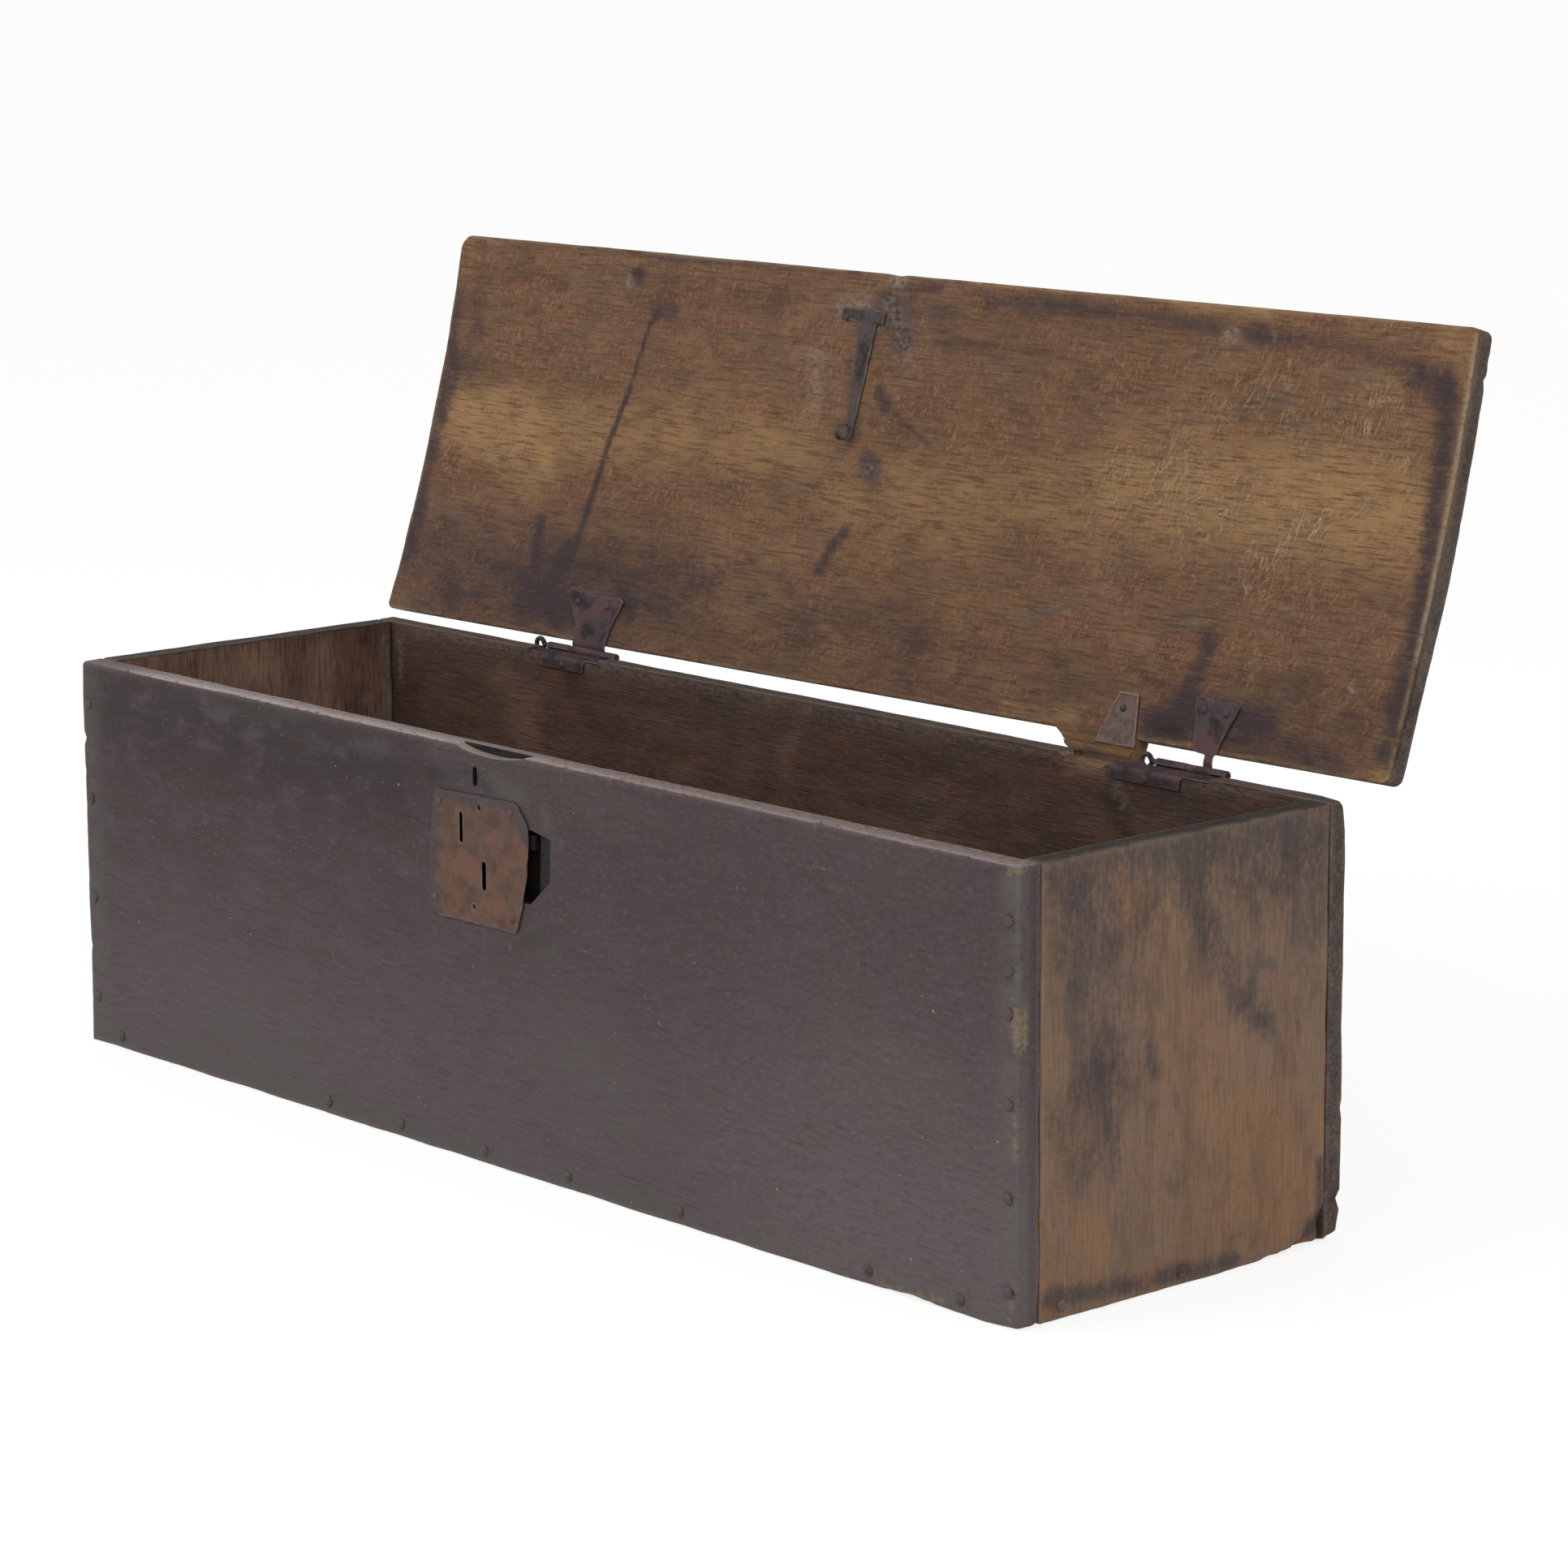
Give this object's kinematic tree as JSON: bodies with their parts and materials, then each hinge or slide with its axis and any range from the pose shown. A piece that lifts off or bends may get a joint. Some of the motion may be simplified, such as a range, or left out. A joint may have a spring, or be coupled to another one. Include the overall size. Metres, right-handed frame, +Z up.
{
  "type": "six-plank chest",
  "caption": "Old nailed plank chest with a cupped lid on two iron pin hinges, a lock plate with a sliding bolt, and an iron hasp strap under the lid.",
  "frame": {"origin": "middle of the underside, on the floor", "axes": "+X along the front to the right, +Y to the back, +Z up; the front faces -Y"},
  "size_m": [1.303, 0.5047, 0.7368],
  "materials": {
    "painted_wood": "worn matte paint",
    "bare_wood": "bare, stained",
    "inner_wood": "bare, aged",
    "raw_wood": "raw, split",
    "rusty_iron": "rusty",
    "dark_iron": "dark, forged"
  },
  "bodies": {
    "chest": {"back_board": "inner_wood", "back_nail_left_1": "dark_iron", "back_nail_left_2": "dark_iron", "back_nail_right_1": "dark_iron", "back_nail_right_2": "dark_iron", "bolt_guide_left": "dark_iron", "bolt_guide_right": "dark_iron", "bottom_board": "inner_wood", "front_board": "painted_wood", "front_nail_bottom_1": "dark_iron", "front_nail_bottom_2": "dark_iron", "front_nail_bottom_3": "dark_iron", "front_nail_bottom_4": "dark_iron", "front_nail_bottom_5": "dark_iron", "front_nail_bottom_6": "dark_iron", "front_nail_bottom_7": "dark_iron", "front_nail_bottom_8": "dark_iron", "front_nail_left_1": "dark_iron", "front_nail_left_2": "dark_iron", "front_nail_left_3": "dark_iron", "front_nail_left_4": "dark_iron", "front_nail_right_1": "dark_iron", "front_nail_right_2": "dark_iron", "front_nail_right_3": "dark_iron", "front_nail_right_4": "dark_iron", "front_nail_right_5": "dark_iron", "front_nail_right_6": "dark_iron", "left_chest_leaf_nail": "dark_iron", "left_end_board": "bare_wood", "left_end_nail_1": "dark_iron", "left_end_nail_2": "dark_iron", "left_hinge_chest_leaf": "dark_iron", "left_hinge_pin": "dark_iron", "lock_plate": "rusty_iron", "lock_plate_nail_1": "dark_iron", "lock_plate_nail_2": "dark_iron", "lock_plate_nail_3": "dark_iron", "lock_plate_nail_4": "dark_iron", "lock_spring": "dark_iron", "right_chest_leaf_nail": "dark_iron", "right_end_board": "bare_wood", "right_end_nail_1": "dark_iron", "right_end_nail_2": "dark_iron", "right_hinge_chest_leaf": "dark_iron", "right_hinge_pin": "dark_iron"},
    "lid": {"hasp_strap": "dark_iron", "hasp_strap_nail_1": "dark_iron", "hasp_strap_nail_2": "dark_iron", "hinge_repair_block": "raw_wood", "hinge_repair_strap": "rusty_iron", "left_hinge_lid_leaf": "dark_iron", "left_lid_leaf_nail_1": "dark_iron", "left_lid_leaf_nail_2": "dark_iron", "lid_board": "inner_wood", "repair_strap_nail": "dark_iron", "right_hinge_lid_leaf": "dark_iron", "right_lid_leaf_nail_1": "dark_iron", "right_lid_leaf_nail_2": "dark_iron"},
    "bolt": {"lock_bolt": "rusty_iron"}
  },
  "joints": [
    {"name": "lid_hinge", "type": "hinge", "parent": "chest", "child": "lid", "pos_m": [0, 0.1895, 0.364], "axis": [1, 0, 0], "range_deg": [0, 106.2]},
    {"name": "lock_bolt_slide", "type": "slide", "parent": "chest", "child": "bolt", "axis": [-1, 0, 0], "range_m": [0, 0.022]}
  ]
}
